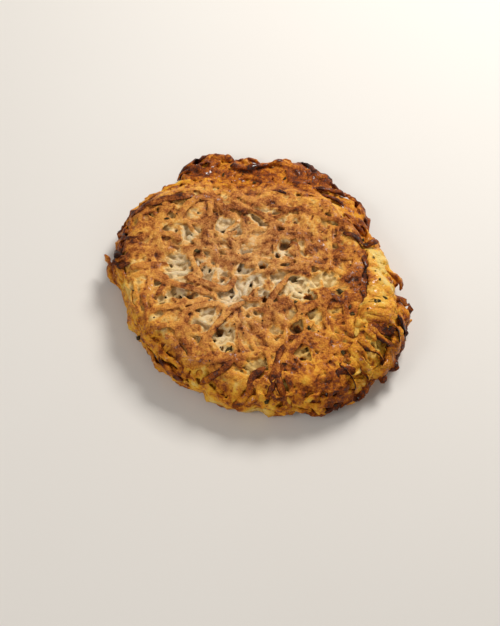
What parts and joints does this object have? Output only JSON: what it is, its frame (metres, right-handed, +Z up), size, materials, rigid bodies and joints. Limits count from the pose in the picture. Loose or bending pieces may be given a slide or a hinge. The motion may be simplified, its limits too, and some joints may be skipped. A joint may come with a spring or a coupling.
{
  "type": "potato rosti",
  "caption": "Pan-fried potato rosti: a flat round cake of pressed grated potato with a browned top, a steep front edge and a thin crisp ledge at the back.",
  "frame": {"origin": "middle of the cake's bounding box, on the flat underside", "axes": "+Z up through the cake's thickness, +X to the right and -Y towards the front, where the edge is steepest; the thin ledge is at +Y"},
  "size_m": [0.1466, 0.1528, 0.0261],
  "materials": {
    "fried_potato": "matte to lightly oiled"
  },
  "bodies": {
    "root": {"rosti": "fried_potato"}
  },
  "joints": []
}
